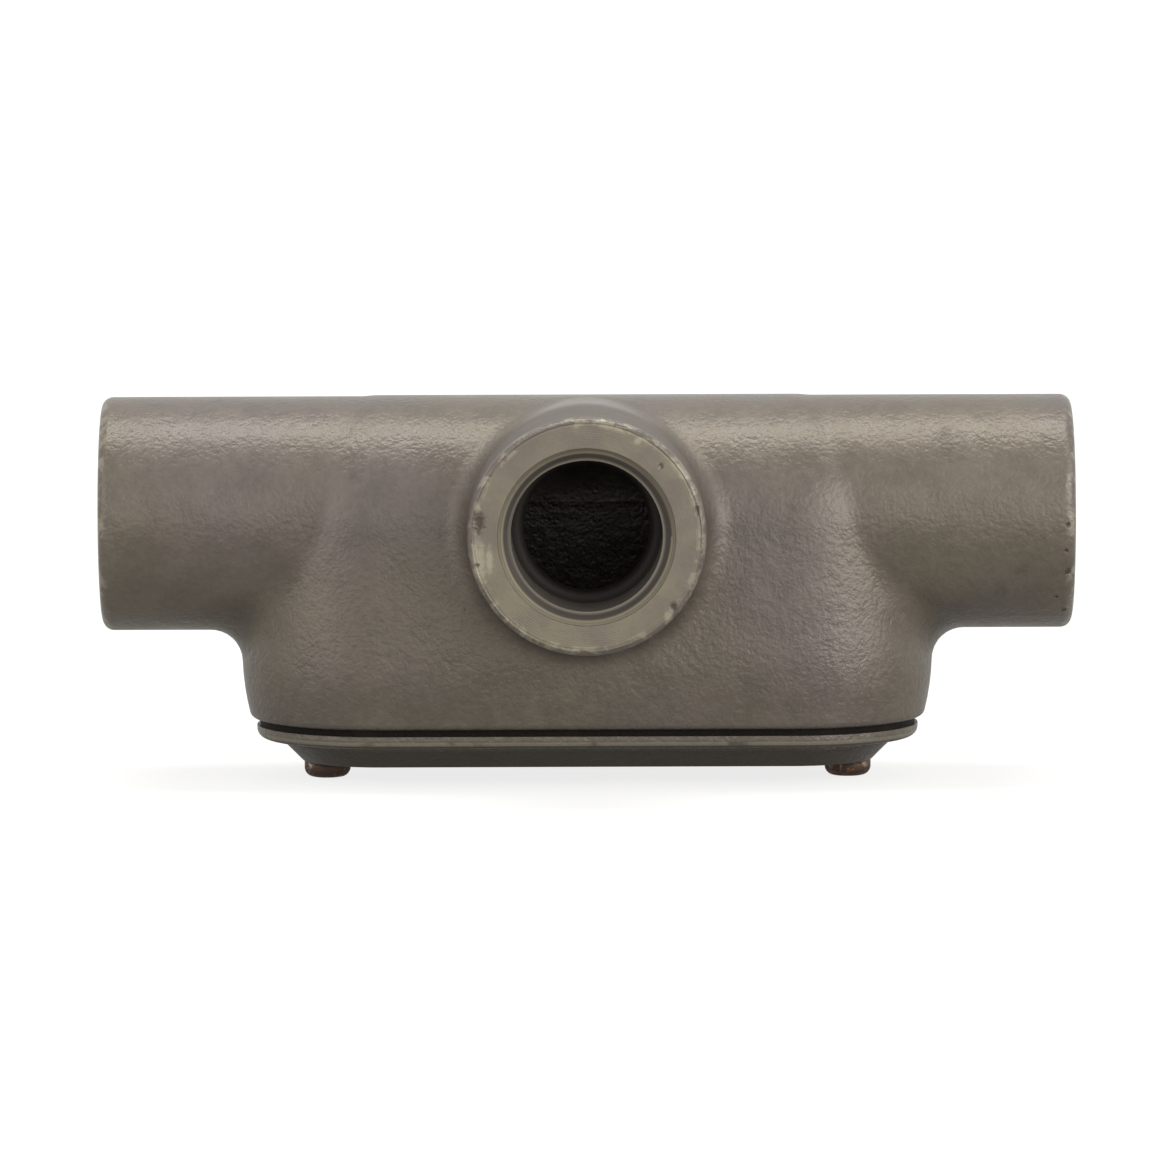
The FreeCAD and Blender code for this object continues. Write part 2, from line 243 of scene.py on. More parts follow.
def noiseNode(tree, place, scale, detail=2.0, roughness=0.5, seed=0.0):
    shifted = vectorNode(tree, "ADD", place, (seed, seed * 0.7, seed * 1.3))
    return addNode(tree, "ShaderNodeTexNoise", {"Vector": shifted, "Scale": scale, "Detail": detail,
                                                "Roughness": roughness}).outputs["Fac"]


def newGroup(name, inputs, outputs):
    group = bpy.data.node_groups.new(name, "ShaderNodeTree")
    for socketName, socketKind in inputs:
        group.interface.new_socket(name=socketName, in_out="INPUT", socket_type=socketKind)
    for socketName, socketKind in outputs:
        group.interface.new_socket(name=socketName, in_out="OUTPUT", socket_type=socketKind)
    return group, group.nodes.new("NodeGroupInput").outputs, group.nodes.new("NodeGroupOutput").inputs


def useGroup(tree, group, inputs):
    return addNode(tree, "ShaderNodeGroup", inputs, {"node_tree": group}).outputs


floatSocket = "NodeSocketFloat"
vectorSocket = "NodeSocketVector"


castSkin = {
    "lumps": 1.2, "peel": 0.9, "grit": 0.55, "cellScale": 160.0, "ragged": 0.16, "holeEdge": (0.09, 0.20),
    "holeDepth": 0.5,
}


def buildCastGrain():
    # the skin left by a sand mould: low lumps, an orange-peel grain over them, and a few pinholes
    tree, given, result = newGroup(
        "castGrain",
        (("Place", vectorSocket), ("Lump Scale", floatSocket), ("Peel Scale", floatSocket),
         ("Grit Scale", floatSocket), ("Pinholes", floatSocket)),
        (("Height", floatSocket), ("Mottle", floatSocket), ("Pinhole", floatSocket)))
    lumps = noiseNode(tree, given["Place"], given["Lump Scale"], 1.0, 0.5, 0.11)
    peel = noiseNode(tree, given["Place"], given["Peel Scale"], 2.0, 0.55, 0.37)
    grit = noiseNode(tree, given["Place"], given["Grit Scale"], 1.0, 0.6, 0.73)
    cells = addNode(tree, "ShaderNodeTexVoronoi", {"Vector": given["Place"], "Scale": castSkin["cellScale"]},
                    {"feature": "F1"}).outputs
    hole = fadeOut(tree, mathNode(tree, "MULTIPLY_ADD", peel, castSkin["ragged"], cells["Distance"]),
                   castSkin["holeEdge"])
    lot = addNode(tree, "ShaderNodeSeparateColor", {0: cells["Color"]}).outputs[0]
    pinhole = bothMasks(tree, hole, mathNode(tree, "LESS_THAN", lot, given["Pinholes"]))
    height = mathNode(tree, "MULTIPLY_ADD", lumps, castSkin["lumps"],
                      mathNode(tree, "MULTIPLY", peel, castSkin["peel"]))
    height = mathNode(tree, "MULTIPLY_ADD", grit, castSkin["grit"], height)
    height = mathNode(tree, "MULTIPLY_ADD", pinhole, -castSkin["holeDepth"], height)
    mottle = mathNode(tree, "MULTIPLY_ADD", peel, 0.5, mathNode(tree, "MULTIPLY", lumps, 0.5))
    tree.links.new(height, result["Height"])
    tree.links.new(mottle, result["Mottle"])
    tree.links.new(pinhole, result["Pinhole"])
    return tree


def buildHubPlace():
    # where a point lies on a hub: how far in from the mouth, and how far out from the axis
    tree, given, result = newGroup(
        "hubPlace",
        (("Place", vectorSocket), ("Mouth", vectorSocket), ("Inward", vectorSocket)),
        (("Depth", floatSocket), ("Radius", floatSocket)))
    away = vectorNode(tree, "SUBTRACT", given["Place"], given["Mouth"])
    tree.links.new(vectorNode(tree, "DOT_PRODUCT", away, given["Inward"]), result["Depth"])
    tree.links.new(vectorNode(tree, "LENGTH", vectorNode(tree, "CROSS_PRODUCT", away, given["Inward"])),
                    result["Radius"])
    return tree


def buildBand():
    # 1 within a band of values, fading to 0 over the softness on each side
    tree, given, result = newGroup(
        "band",
        (("Value", floatSocket), ("Middle", floatSocket), ("Half Width", floatSocket),
         ("Softness", floatSocket)),
        (("Mask", floatSocket),))
    away = mathNode(tree, "ABSOLUTE", mathNode(tree, "SUBTRACT", given["Value"], given["Middle"]))
    edge = mathNode(tree, "ADD", given["Half Width"], given["Softness"])
    tree.links.new(rampNode(tree, away, given["Half Width"], edge, 1.0, 0.0), result["Mask"])
    return tree


def buildSpot():
    # a ragged patch about a point, longer one way than the others by its stretch
    tree, given, result = newGroup(
        "spot",
        (("Place", vectorSocket), ("Centre", vectorSocket), ("Stretch", vectorSocket), ("Size", floatSocket),
         ("Raggedness", floatSocket)),
        (("Mask", floatSocket),))
    away = vectorNode(tree, "DIVIDE", vectorNode(tree, "SUBTRACT", given["Place"], given["Centre"]),
                      given["Stretch"])
    ragged = mathNode(tree, "SUBTRACT", noiseNode(tree, given["Place"], 900.0, 2.0, 0.6, 0.9), 0.5)
    distance = mathNode(tree, "MULTIPLY_ADD", ragged, given["Raggedness"], vectorNode(tree, "LENGTH", away))
    inner = mathNode(tree, "MULTIPLY", given["Size"], 0.35)
    outer = mathNode(tree, "MULTIPLY", given["Size"], 1.3)
    tree.links.new(rampNode(tree, distance, inner, outer, 1.0, 0.0), result["Mask"])
    return tree


def buildWear():
    # patchy wear: the mask given, broken up by noise, more of it as the amount goes to 1
    tree, given, result = newGroup(
        "wear",
        (("Place", vectorSocket), ("Where", floatSocket), ("Patch Scale", floatSocket),
         ("Amount", floatSocket)),
        (("Mask", floatSocket),))
    patches = noiseNode(tree, given["Place"], given["Patch Scale"], 3.0, 0.65, 0.52)
    low = mathNode(tree, "SUBTRACT", 0.78, mathNode(tree, "MULTIPLY", given["Amount"], 0.5))
    high = mathNode(tree, "ADD", low, 0.14)
    tree.links.new(mathNode(tree, "MULTIPLY", rampNode(tree, patches, low, high), given["Where"]),
                    result["Mask"])
    return tree


castGrain = buildCastGrain()
hubPlace = buildHubPlace()
band = buildBand()
spot = buildSpot()
wear = buildWear()
print("shader groups built")


def bandMask(tree, value, measures):
    middle, halfWidth, softness = measures
    return useGroup(tree, band, {"Value": value, "Middle": middle, "Half Width": halfWidth,
                                 "Softness": softness})["Mask"]


def newMaterial(name):
    material = bpy.data.materials.new(name)
    material.use_nodes = True
    tree = material.node_tree
    tree.nodes.clear()
    output = tree.nodes.new("ShaderNodeOutputMaterial")
    shader = tree.nodes.new("ShaderNodeBsdfPrincipled")
    tree.links.new(shader.outputs["BSDF"], output.inputs["Surface"])
    place = tree.nodes.new("ShaderNodeTexCoord").outputs
    return material, tree, shader, place


# thread also serves as painted shade in the bores and on the branch hub's outside, crestHighlight is a
# painted highlight, inside is painted shade, stain also serves as painted shade under the roots and the
# cover, and worn also serves as a painted highlight on the cover's edge
castPaint = {
    "body": "6e665b", "cool": "6d6461", "warm": "70685a", "machined": "8b8470", "dull": "7c7367",
    "thread": "413a34", "crestHighlight": "989181", "worn": "aaa38e", "stain": "2e2820", "inside": "2b2622",
    "roughness": 0.36, "roughnessSpread": (-0.05, 0.07), "metallic": 0.4, "specular": 0.45,
    "bumpDistance": 0.00015, "lumpScale": 190.0, "peelScale": 900.0, "gritScale": 1700.0, "pinholes": 0.014,
    "pinholeStain": 0.7, "hueScale": 34.0, "grimeScale": 95.0, "grimeAndShade": 0.35,
}

# lengths are in metres: depths from a hub's mouth, radii from its axis, heights from the run's axis;
# a pair is where a finish starts to fade and where it ends, and three are a band's middle, half width
# and softness
hubFinish = {
    "faceDepth": 0.0003, "faceCover": 0.85, "cloudScale": 120.0,
    "boreRadius": 0.01385, "boreDepth": 0.0175, "boreCover": 0.9, "boreRoughness": 0.62,
    "crestRadii": (0.0119, 0.0125), "crestDepths": (0.0018, 0.0034),
    "flareRadii": (0.0129, 0.0133), "flareDepths": (0.0007, 0.0012),
    "barrelRadii": (0.0188, 0.0225), "barrelStart": (0.0010, 0.0022), "barrelEnd": (0.020, 0.030),
    "barrelShadeStrength": 0.35, "turningRate": 16000.0, "turningHeight": 0.02, "toothScale": 1500.0,
    "toothHeight": 0.25, "runPassage": 0.0154, "branchPassage": 0.0140, "passageDepth": 0.0156,
    "chamberReach": 0.03305, "chamberRadius": 0.0192, "insideCover": 0.8,
    "branchRoot": (0.0195, 0.0006, 0.0028), "branchRootHeights": (-0.016, -0.006),
    "branchRootDepths": (0.0035, 0.0075), "runRoot": (0.0570, 0.0008, 0.0050),
    "runRootHeights": (-0.0175, -0.0095), "runRootShadeAndGrime": 0.7, "rootShadeAndGrime": 0.55, "blotchScale": 170.0,
    "rim": (0.0180, 0.0006, 0.0005), "rimDepths": (0.0005, 0.0020), "rimPatches": 420.0, "rimAmount": 0.6,
    "rimWear": 0.5, "patchWear": 0.75, "nickStain": 0.7, "nickDepth": 1.6, "nickStart": 0.0002,
    "hubRadius": 0.0187,
}
# undersideShade and shadedBelow set the painted shade under the flange; edgeBand and edgeHighlightStrength
# set the painted highlight along its edge
coverFinish = {
    "undersideShade": 0.62, "shadedBelow": (-0.0005, -0.0002), "edgeBand": (0.0002, 0.0002),
    "edgePatches": 150.0, "edgeAmount": 0.9, "edgeHighlightStrength": 0.45, "flangeEdge": 0.0012,
}

# worn places and nicks of the branch face: across and up from its axis, size, and how far it runs upward
branchWear = (
    (-0.0168, -0.0040, 0.0012, 3.2),
    (-0.0152, -0.0034, 0.0006, 3.6),
    (-0.0169, 0.0046, 0.0006, 1.4),
    (0.0127, -0.0126, 0.0008, 1.6),
    (0.0080, 0.0150, 0.0007, 0.8),
)
branchNicks = (
    (-0.0168, 0.0022, 0.0009, 2.2),
    (-0.0171, -0.0044, 0.0004, 1.0),
    (0.0134, -0.0109, 0.0006, 1.2),
    (0.0116, 0.0110, 0.0005, 1.0),
    (0.0172, 0.0040, 0.0004, 2.0),
)
# small brown pits on the rim of the right hub: how far in from the mouth, up from the axis, size
rimPits = (
    (0.0013, -0.0006, 0.0004),
    (0.0016, -0.0047, 0.0003),
    (0.0012, -0.0083, 0.0006),
    (0.0017, -0.0148, 0.0005),
    (0.0030, -0.0125, 0.0003),
)


def paintOver(tree, skin, mask, strength, colour):
    return mixNode(tree, mathNode(tree, "MULTIPLY", mask, strength), skin, linearColour(castPaint[colour]))


def spotMask(tree, here, centre, tall, size, raggedness):
    return useGroup(tree, spot, {"Place": here, "Centre": centre, "Stretch": (1, 1, tall), "Size": size,
                                 "Raggedness": size * raggedness})["Mask"]


def enamelColour(tree, here, grain):
    # the grey enamel: its hue drifts a little, the grain mottles it, and grime lies on it in places
    hue = rampNode(tree, noiseNode(tree, here, castPaint["hueScale"], 1.0, 0.5, 0.2), 0.35, 0.65)
    skin = mixNode(tree, hue, linearColour(castPaint["cool"]), linearColour(castPaint["warm"]))
    skin = mixNode(tree, 0.5, skin, linearColour(castPaint["body"]))
    mottle = rampNode(tree, grain["Mottle"], 0.3, 0.7, 0.90, 1.10)
    grey = addNode(tree, "ShaderNodeCombineColor", {0: mottle, 1: mottle, 2: mottle}).outputs[0]
    skin = mixNode(tree, 1.0, skin, grey, "MULTIPLY")
    grimePatches = noiseNode(tree, here, castPaint["grimeScale"], 4.0, 0.7, 0.4)
    grimeAndShade = rampNode(tree, grimePatches, 0.62, 0.80, 0.0, castPaint["grimeAndShade"])
    skin = mixNode(tree, grimeAndShade, skin, linearColour(castPaint["stain"]))
    return paintOver(tree, skin, grain["Pinhole"], castPaint["pinholeStain"], "stain")


def machinedMasks(tree, hubs, facing):
    # the turned faces of the hubs, and the tapped bores inside them
    faces = []
    bores = []
    for hub, (_, inward) in zip(hubs, hubMouths):
        flat = fadeOut(tree, vectorNode(tree, "DOT_PRODUCT", facing, inward), (-0.97, -0.90))
        atMouth = mathNode(tree, "LESS_THAN", hub["Depth"], hubFinish["faceDepth"])
        inBore = mathNode(tree, "LESS_THAN", hub["Radius"], hubFinish["boreRadius"])
        beforeRing = mathNode(tree, "LESS_THAN", hub["Depth"], hubFinish["boreDepth"])
        faces.append(bothMasks(tree, flat, atMouth))
        bores.append(bothMasks(tree, inBore, beforeRing))
    return anyMask(tree, faces), anyMask(tree, bores)


def boreColour(tree, hubs):
    # painted shade darkens the whole thread, and a painted highlight lies on the crests of its first turns;
    # the flare of the mouth keeps the machined colour
    crestHighlights = []
    flares = []
    for hub in hubs:
        crestHighlights.append(bothMasks(tree, fadeOut(tree, hub["Radius"], hubFinish["crestRadii"]),
                                fadeOut(tree, hub["Depth"], hubFinish["crestDepths"])))
        flares.append(bothMasks(tree, fadeIn(tree, hub["Radius"], hubFinish["flareRadii"]),
                                fadeOut(tree, hub["Depth"], hubFinish["flareDepths"])))
    skin = mixNode(tree, anyMask(tree, crestHighlights), linearColour(castPaint["thread"]),
                   linearColour(castPaint["crestHighlight"]))
    return mixNode(tree, anyMask(tree, flares), skin, linearColour(castPaint["machined"]))


def barrelShadeMask(tree, branch):
    # painted shade on the branch hub's outside, behind its bright face, in the thread's dark colour
    within = fadeOut(tree, branch["Radius"], hubFinish["barrelRadii"])
    behindFace = fadeIn(tree, branch["Depth"], hubFinish["barrelStart"])
    beforeRoot = fadeOut(tree, branch["Depth"], hubFinish["barrelEnd"])
    return bothMasks(tree, bothMasks(tree, within, behindFace), beforeRoot)


def turnedHeight(tree, here, branch):
    # faint rings left by the tool, over a fine tooth
    turning = mathNode(tree, "SINE", mathNode(tree, "MULTIPLY", branch["Radius"], hubFinish["turningRate"]))
    tooth = noiseNode(tree, here, hubFinish["toothScale"], 2.0, 0.6, 0.15)
    return mathNode(tree, "MULTIPLY_ADD", turning, hubFinish["turningHeight"],
                    mathNode(tree, "MULTIPLY", tooth, hubFinish["toothHeight"]))


def insideShadeMask(tree, fromCrossing, hubs, beforeAxis):
    # painted shade: the passages behind the bushing rings, and the chamber below the run's axis, are darkened
    along, across, up = addNode(tree, "ShaderNodeSeparateXYZ", {0: fromCrossing}).outputs
    offAxis = vectorNode(tree, "LENGTH", vectorNode(tree, "MULTIPLY", fromCrossing, (0, 1, 1)))
    inRun = mathNode(tree, "LESS_THAN", offAxis, hubFinish["runPassage"])
    nearerMouth = mathNode(tree, "MINIMUM", hubs[1]["Depth"], hubs[2]["Depth"])
    run = bothMasks(tree, inRun, mathNode(tree, "GREATER_THAN", nearerMouth, hubFinish["passageDepth"]))
    pastEnd = mathNode(tree, "SUBTRACT", mathNode(tree, "ABSOLUTE", along), hubFinish["chamberReach"])
    pastEnd = mathNode(tree, "MAXIMUM", pastEnd, 0.0)
    inPlan = vectorNode(tree, "LENGTH", addNode(tree, "ShaderNodeCombineXYZ",
                                                {0: pastEnd, 1: across}).outputs[0])
    chamber = bothMasks(tree, mathNode(tree, "LESS_THAN", inPlan, hubFinish["chamberRadius"]),
                        mathNode(tree, "LESS_THAN", up, 0.0))
    inBranch = mathNode(tree, "LESS_THAN", hubs[0]["Radius"], hubFinish["branchPassage"])
    behindRing = mathNode(tree, "GREATER_THAN", hubs[0]["Depth"], hubFinish["passageDepth"])
    branch = bothMasks(tree, bothMasks(tree, inBranch, behindRing), beforeAxis)
    return anyMask(tree, [run, chamber, branch])


def rootShadeAndGrimeMask(tree, here, fromCrossing, branch, beforeAxis):
    # painted shade under the roots of the branch hub and of the run hubs, in blotches that also hold some
    # dirt
    along, _, up = addNode(tree, "ShaderNodeSeparateXYZ", {0: fromCrossing}).outputs
    underBranch = fadeOut(tree, up, hubFinish["branchRootHeights"])
    behindMouth = fadeIn(tree, branch["Depth"], hubFinish["branchRootDepths"])
    branchRoot = bothMasks(tree, bandMask(tree, branch["Radius"], hubFinish["branchRoot"]), underBranch)
    branchRoot = bothMasks(tree, bothMasks(tree, branchRoot, behindMouth), beforeAxis)
    runRoot = bothMasks(tree, bandMask(tree, mathNode(tree, "ABSOLUTE", along), hubFinish["runRoot"]),
                        fadeOut(tree, up, hubFinish["runRootHeights"]))
    roots = mathNode(tree, "MAXIMUM", branchRoot, mathNode(tree, "MULTIPLY", runRoot, hubFinish["runRootShadeAndGrime"]))
    blotches = rampNode(tree, noiseNode(tree, here, hubFinish["blotchScale"], 3.0, 0.6, 0.8),
                        0.35, 0.65, 0.5, 1.0)
    return bothMasks(tree, roots, blotches)


def rubbedRims(tree, here, hubs):
    rims = []
    for hub in hubs:
        nearMouth = fadeOut(tree, hub["Depth"], hubFinish["rimDepths"])
        rims.append(bothMasks(tree, nearMouth, bandMask(tree, hub["Radius"], hubFinish["rim"])))
    return useGroup(tree, wear, {"Place": here, "Where": anyMask(tree, rims),
                                 "Patch Scale": hubFinish["rimPatches"],
                                 "Amount": hubFinish["rimAmount"]})["Mask"]


def nickMask(tree, here):
    nicks = [spotMask(tree, here, branchMouth + Vector((across, hubFinish["nickStart"], up)), tall, size, 1.2)
             for across, up, size, tall in branchNicks]
    for inFrom, up, size in rimPits:
        forward = math.sqrt(hubFinish["hubRadius"] ** 2 - up ** 2)
        nicks.append(spotMask(tree, here, rightMouth + Vector((-inFrom, -forward, up)), 1.3, size, 1.0))
    return anyMask(tree, nicks)


def finishHubs(tree, here, facing, skin, height, roughness):
    # the cut metal with painted shade in its bore and a painted highlight on the first crests, painted shade
    # on the branch hub's outside and inside the castings, painted shade with some dirt under the roots, and
    # the worn mouths, one over another
    hubs = [useGroup(tree, hubPlace, {"Place": here, "Mouth": mouth, "Inward": inward})
            for mouth, inward in hubMouths]
    branch = hubs[0]
    face, bore = machinedMasks(tree, hubs, facing)
    cloud = rampNode(tree, noiseNode(tree, here, hubFinish["cloudScale"], 3.0, 0.6, 0.33), 0.35, 0.68)
    machined = mixNode(tree, cloud, linearColour(castPaint["machined"]), linearColour(castPaint["dull"]))
    skin = mixNode(tree, mathNode(tree, "MULTIPLY", face, hubFinish["faceCover"]), skin, machined)
    skin = mixNode(tree, mathNode(tree, "MULTIPLY", bore, hubFinish["boreCover"]), skin,
                   boreColour(tree, hubs))
    barrelShade = barrelShadeMask(tree, branch)
    # painted shade on the branch hub's outside
    skin = paintOver(tree, skin, barrelShade, hubFinish["barrelShadeStrength"], "thread")
    rough = mathNode(tree, "MAXIMUM", barrelShade, bore)
    roughness = mixValue(tree, rough, roughness, hubFinish["boreRoughness"])
    cut = mathNode(tree, "MAXIMUM", face, bore)
    height = mixValue(tree, cut, height, turnedHeight(tree, here, branch))
    fromCrossing = vectorNode(tree, "SUBTRACT", here, (0, axisY, axisZ))
    beforeAxis = mathNode(tree, "LESS_THAN", branch["Depth"], axisY - branchMouth.y)
    recessShade = insideShadeMask(tree, fromCrossing, hubs, beforeAxis)
    # painted shade inside the hubs and the chamber
    skin = paintOver(tree, skin, recessShade, hubFinish["insideCover"], "inside")
    # painted shade, with some dirt, under the hub roots
    grimeAndShade = rootShadeAndGrimeMask(tree, here, fromCrossing, branch, beforeAxis)
    skin = paintOver(tree, skin, grimeAndShade, hubFinish["rootShadeAndGrime"], "stain")
    skin = paintOver(tree, skin, rubbedRims(tree, here, hubs), hubFinish["rimWear"], "worn")
    patches = anyMask(tree, [spotMask(tree, here, branchMouth + Vector((across, 0, up)), tall, size, 1.4)
                             for across, up, size, tall in branchWear])
    nicks = nickMask(tree, here)
    skin = paintOver(tree, skin, patches, hubFinish["patchWear"], "worn")
    skin = paintOver(tree, skin, nicks, hubFinish["nickStain"], "stain")
    height = mathNode(tree, "MULTIPLY_ADD", nicks, -hubFinish["nickDepth"], height)
    return skin, height, roughness


def finishCoverEdge(tree, here, edgeHeight, skin):
    # painted shade darkens the cover below its flange's edge, and a painted highlight lies along the edge
    # itself, broken into patches like wear
    upward = addNode(tree, "ShaderNodeSeparateXYZ", {0: here}).outputs[2]
    low, high = coverFinish["shadedBelow"]
    undersideShading = rampNode(tree, upward, edgeHeight + low, edgeHeight + high, coverFinish["undersideShade"], 0.0)
    # painted shade below the flange's edge
    skin = mixNode(tree, undersideShading, skin, linearColour(castPaint["stain"]))
    edge = bandMask(tree, upward, (edgeHeight, *coverFinish["edgeBand"]))
    # painted highlight along the flange's edge, in the worn colour
    edgeHighlight = useGroup(tree, wear, {"Place": here, "Where": edge, "Patch Scale": coverFinish["edgePatches"],
                                   "Amount": coverFinish["edgeAmount"]})["Mask"]
    return paintOver(tree, skin, edgeHighlight, coverFinish["edgeHighlightStrength"], "worn")


def makeCastPaint(name, withHubs=False, edgeHeight=None):
    material, tree, shader, place = newMaterial(name)
    here = place["Object"]
    grain = useGroup(tree, castGrain, {
        "Place": here, "Lump Scale": castPaint["lumpScale"], "Peel Scale": castPaint["peelScale"],
        "Grit Scale": castPaint["gritScale"], "Pinholes": castPaint["pinholes"]})
    skin = enamelColour(tree, here, grain)
    height = grain["Height"]
    smoother, rougher = castPaint["roughnessSpread"]
    roughness = rampNode(tree, grain["Mottle"], 0.3, 0.7, castPaint["roughness"] + smoother,
                         castPaint["roughness"] + rougher)
    if withHubs:
        skin, height, roughness = finishHubs(tree, here, place["Normal"], skin, height, roughness)
    if edgeHeight:
        skin = finishCoverEdge(tree, here, edgeHeight, skin)
    tree.links.new(skin, shader.inputs["Base Color"])
    tree.links.new(roughness, shader.inputs["Roughness"])
    addBump(tree, shader, castPaint["bumpDistance"], height)
    shader.inputs["Metallic"].default_value = castPaint["metallic"]
    shader.inputs["Specular IOR Level"].default_value = castPaint["specular"]
    return material


def makeRubber(name, values):
    material, tree, shader, place = newMaterial(name)
    here = place["Object"]
    grit = noiseNode(tree, here, values["gritScale"], 3.0, 0.7)
    dustPatches = noiseNode(tree, here, values["dustScale"], 3.0, 0.6, 0.3)
    dust = rampNode(tree, dustPatches, 0.5, 0.75, 0.0, values["dusty"])
    skin = mixNode(tree, dust, linearColour(values["rubber"]), linearColour(values["dust"]))
    tree.links.new(skin, shader.inputs["Base Color"])
    tree.links.new(rampNode(tree, grit, 0.3, 0.7, values["roughness"] - 0.06, values["roughness"] + 0.06),
                   shader.inputs["Roughness"])
    addBump(tree, shader, values["bumpDistance"], grit)
    shader.inputs["Specular IOR Level"].default_value = values["specular"]
    return material


def makeSteel(name, values):
    # plated steel with a brown stain over it, and the bright plating left in patches
    material, tree, shader, place = newMaterial(name)
    here = place["Object"]
    grit = noiseNode(tree, here, values["gritScale"], 3.0, 0.65)
    stain = rampNode(tree, noiseNode(tree, here, values["stainScale"], 3.0, 0.6, 0.6),
                     0.5 - values["stained"] * 0.3, 0.6 - values["stained"] * 0.2)
    skin = mixNode(tree, stain, linearColour(values["metal"]), linearColour(values["stain"]))
    glint = useGroup(tree, wear, {"Place": here, "Where": 1.0, "Patch Scale": values["glintScale"],
                                  "Amount": values["glints"]})["Mask"]
    skin = mixNode(tree, glint, skin, linearColour(values["glint"]))
    tree.links.new(skin, shader.inputs["Base Color"])
    tree.links.new(rampNode(tree, stain, 0.0, 1.0, values["roughness"], values["roughness"] + 0.2),
                   shader.inputs["Roughness"])
    tree.links.new(rampNode(tree, stain, 0.0, 1.0, 1.0, 0.75), shader.inputs["Metallic"])
    addBump(tree, shader, values["bumpDistance"], grit)
    return material


gasketRubber = {"rubber": "120e09", "dust": "352d20", "roughness": 0.75, "specular": 0.2, "gritScale": 2200.0,
                "dustScale": 160.0, "dusty": 0.25, "bumpDistance": 0.00005}
screwSteel = {"metal": "8d8172", "stain": "56453a", "glint": "b9855a", "stained": 0.6, "stainScale": 520.0,
              "glints": 0.42, "glintScale": 620.0, "gritScale": 1800.0, "roughness": 0.36,
              "bumpDistance": 0.00005}
nutSteel = {"metal": "9a958a", "stain": "6b6052", "glint": "c0b8a8", "stained": 0.4, "stainScale": 380.0,
            "glints": 0.25, "glintScale": 620.0, "gritScale": 1800.0, "roughness": 0.38,
            "bumpDistance": 0.00005}

housingPaint = makeCastPaint("housingPaint", withHubs=True)
coverPaint = makeCastPaint("coverPaint", edgeHeight=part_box("cover")[1].z - coverFinish["flangeEdge"])
gasketFinish = makeRubber("gasketRubber", gasketRubber)
screwFinish = makeSteel("screwSteel", screwSteel)
nutFinish = makeSteel("nutSteel", nutSteel)

for nodeName, finish in (("housing", housingPaint), ("cover", coverPaint), ("gasket", gasketFinish),
                         ("wedge_nut_left", nutFinish), ("wedge_nut_right", nutFinish)):
    for materialSlot in nodes[nodeName].material_slots:
        materialSlot.material = finish
print("materials placed on the castings, gasket and nuts")


# the pipe threads cut in the three hubs
pipeThread = {
    "pitch": 0.001814, "rootRadius": 0.01345, "crestRadius": 0.01190, "rootWidth": 0.00172,
    "crestWidth": 0.00030, "turns": 10, "steps": 72, "start": 0.0004, "leadIn": 0.0012, "seat": 0.0158,
    "reachMargin": 0.0002, "sinkMargin": 0.0003, "tipMargin": 0.0001, "smoothAngle": 32,
}


def makePipeThread(name, mouth, turn):
    values = pipeThread
    ridge = helixRidge(name, values["rootRadius"], values["crestRadius"], values["rootWidth"],
                       values["crestWidth"], values["pitch"], values["turns"], values["steps"])
    # what lies between the mouth and the seat is kept, and a cone opens the first turn towards the mouth
    length = values["seat"] - values["start"]
    clearSelection()
    bpy.ops.mesh.primitive_cylinder_add(vertices=values["steps"], depth=length,
                                        radius=values["rootRadius"] + values["reachMargin"],
                                        location=(0, 0, values["start"] + length / 2))
    cutWith(ridge, nameActive("reach"), "INTERSECT")
    clearSelection()
    coneMiddle = values["start"] + values["leadIn"] / 2 - values["tipMargin"]
    bpy.ops.mesh.primitive_cone_add(vertices=values["steps"], depth=values["leadIn"],
                                    radius1=values["rootRadius"] + values["sinkMargin"],
                                    radius2=values["crestRadius"] - values["tipMargin"],
                                    location=(0, 0, coneMiddle))
    cutWith(ridge, nameActive("countersink"), "DIFFERENCE")
    tidyMesh(ridge)
    bpy.ops.object.shade_smooth_by_angle(angle=math.radians(values["smoothAngle"]))
    ridge.data.materials.clear()
    ridge.data.materials.append(housingPaint)
    settle(ridge, mouth, turn)
    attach(ridge, "housing")
    print(name, "made:", len(ridge.data.polygons), "faces")


quarterTurn = math.pi / 2
makePipeThread("branch_thread", branchMouth, (-quarterTurn, 0, 0))
makePipeThread("left_hub_thread", leftMouth, (0, quarterTurn, 0))
makePipeThread("right_hub_thread", rightMouth, (0, -quarterTurn, 0))


# the two cover screws: the slotted head of the frame's screw, on a shank with a real thread
screwThread = {
    "core": 0.00156, "crest": 0.00207, "pitch": 0.000794, "rootWidth": 0.00070,
    "crestWidth": 0.00012, "threadAbove": 0.0013, "steps": 20, "runOut": 0.0006, "tip": 0.0007,
    "shankOverlap": 0.0008, "headCut": 0.00005, "margin": 0.0001, "sides": 40, "tipTaper": 0.62,
    "runOutTaper": 0.72, "threadPastTip": 0.4, "smoothAngle": 35,
}


